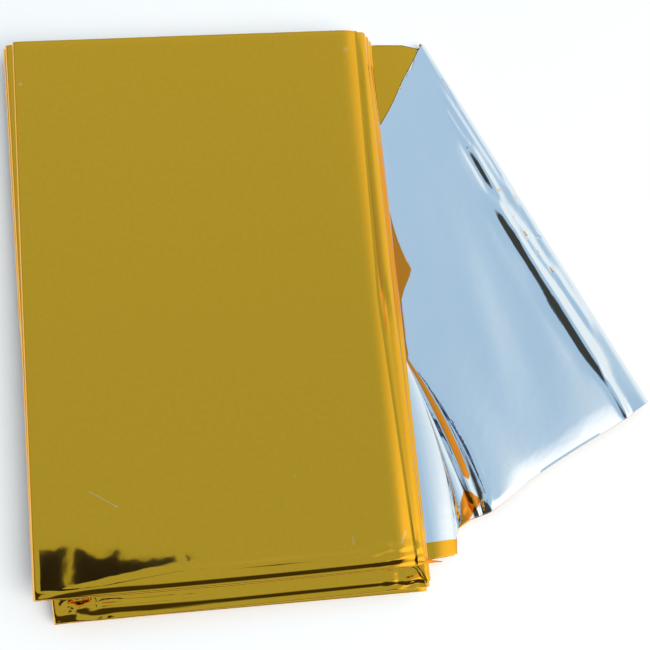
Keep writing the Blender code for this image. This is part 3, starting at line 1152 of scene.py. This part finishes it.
SkyPatch = namedtuple("SkyPatch", "name way low high colour")
SKY_PATCHES = table_of(
    SkyPatch,
    ("behind the packet", (0, 1, 0), 0, 0.9, (0.49, 0.67, 0.84)),
    ("horizon", (0, 0, -1), -0.7, -0.25, (0.42, 0.45, 0.46)),
    ("bright side", (1, 0.15, 0), 0.16, 0.76, (0.87, 0.95, 0.99)),
    ("dark room", (-0.5, -0.866, 0), 0.4, 0.58, (0.045, 0.05, 0.045)),
    ("window", (0.621, -0.421, 0.661), 0.84, 0.99, (1.3, 1.3, 1.3)),
)
LAMP_PLACE, LAMP_AIM = Vector((0.35, -0.35, 1.0)), Vector((0.03, 0, 0))
LAMP_POWER, LAMP_SIZE, LAMP_COLOUR = 10.0, 0.8, (1.0, 0.95, 0.88)


def plain_material(name, colour, roughness):
    material = bpy.data.materials.new(name)
    material.use_nodes = True
    shader = material.node_tree.nodes["Principled BSDF"]
    wire(material.node_tree, shader, Base_Color=colour, Roughness=roughness)
    return material, shader


def add_floor():
    bpy.ops.mesh.primitive_plane_add(size=FLOOR_SIZE, location=(0, 0, -FLOOR_DROP * MM))
    floor = bpy.context.object
    floor.name = "floor"
    material, shader = plain_material("pale_floor", FLOOR_COLOUR, FLOOR_ROUGHNESS)
    shader.inputs["Specular IOR Level"].default_value = FLOOR_SHEEN
    floor.data.materials.append(material)


def facing(tree, direction, patch):
    """0 to 1 as a direction turns toward a patch's way, from its low to its high closeness."""
    near = calculate_vector(tree, "DOT_PRODUCT", direction, patch.way)
    return map_range(tree, near, "SMOOTHSTEP", From_Min=patch.low, From_Max=patch.high)


def add_sky():
    world = bpy.data.worlds.new("studio_sky")
    bpy.context.scene.world = world
    world.use_nodes = True
    tree = world.node_tree
    direction = add_node(tree, "ShaderNodeTexCoord").outputs["Generated"]
    colour = OVERHEAD
    for patch in SKY_PATCHES:
        colour = mix_colours(tree, facing(tree, direction, patch), colour, patch.colour)
    wire(tree, tree.nodes["Background"], Color=colour)


def add_lamp():
    data = bpy.data.lights.new("soft_lamp", "AREA")
    data.energy, data.size, data.color = LAMP_POWER, LAMP_SIZE, LAMP_COLOUR
    lamp = bpy.data.objects.new("soft_lamp", data)
    bpy.context.scene.collection.objects.link(lamp)
    lamp.location = LAMP_PLACE
    lamp.rotation_euler = (LAMP_AIM - LAMP_PLACE).to_track_quat("-Z", "Y").to_euler()
    lamp.visible_glossy = False


add_floor()
add_sky()
add_lamp()
bpy.context.scene.view_settings.view_transform = "Standard"
print("sky of", len(SKY_PATCHES), "patches")

# %% [markdown]
# ## The dark card
#
# A dark card hangs level over the camera, where its holder would be, and the packet's front left
# corner mirrors it. A level mirror shows it as though it lay deep below. So its outlines are given
# where they are seen on the packet's top, and are spread out from under the camera to their real size.

# %% Dark card
CARD_HEIGHT = 252.0
CARD_COLOUR, CARD_ROUGHNESS = (0.008, 0.011, 0.06), 1.0
CARD_SHADOWS = (
    ((-46, -61), (-42.4, -61), (-41.2, -59.2), (-40.4, -55.8), (-38.6, -55.6), (-36.6, -55.8),
     (-35.8, -55.2), (-34.4, -56), (-34.6, -62.5), (-34.8, -76), (-46, -76)),
    ((-33.3, -56.2), (-31.8, -56.4), (-29.9, -57.7), (-28.4, -58.8), (-26.4, -58.9), (-24.5, -57.9),
     (-23.8, -58.9), (-23.5, -60), (-20.9, -60.4), (-18, -61.1), (-15.5, -60.9), (-11.9, -60.7),
     (-11.8, -63), (-17.8, -63.9), (-24, -64.6), (-30, -65.6), (-33.8, -69)),
    ((-9.4, -60.2), (-8.4, -60.3), (-7.2, -62.3), (-8, -62.5)),
)


def add_dark_card():
    top = solid_high[2]
    eye = CAMERA_PLACE / MM
    spread = 1 + (CARD_HEIGHT - top) / (eye.z - top)
    mesh = bpy.data.meshes.new("dark_card")
    corners, faces = [], []
    for outline in CARD_SHADOWS:
        faces.append(tuple(range(len(corners), len(corners) + len(outline))))
        for x, y in outline:
            card_x = eye.x + (x - eye.x) * spread
            card_y = eye.y + (y - eye.y) * spread
            corners.append((card_x * MM, card_y * MM, CARD_HEIGHT * MM))
    mesh.from_pydata(corners, [], faces)
    card = bpy.data.objects.new("dark_card", mesh)
    bpy.context.scene.collection.objects.link(card)
    card.data.materials.append(plain_material("dark_card", CARD_COLOUR, CARD_ROUGHNESS)[0])
    card.visible_camera = False
    card.visible_shadow = False
    card.visible_diffuse = False


add_dark_card()
print("card of", len(CARD_SHADOWS), "shapes", CARD_HEIGHT, "mm up")

# %% [markdown]
# ## Hand the sheet to the frame
#
# The sheet takes the place of the frame's plain solid and rides on the same body.

# %% Finish
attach(sheet, "root")
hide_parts("foil_blanket")
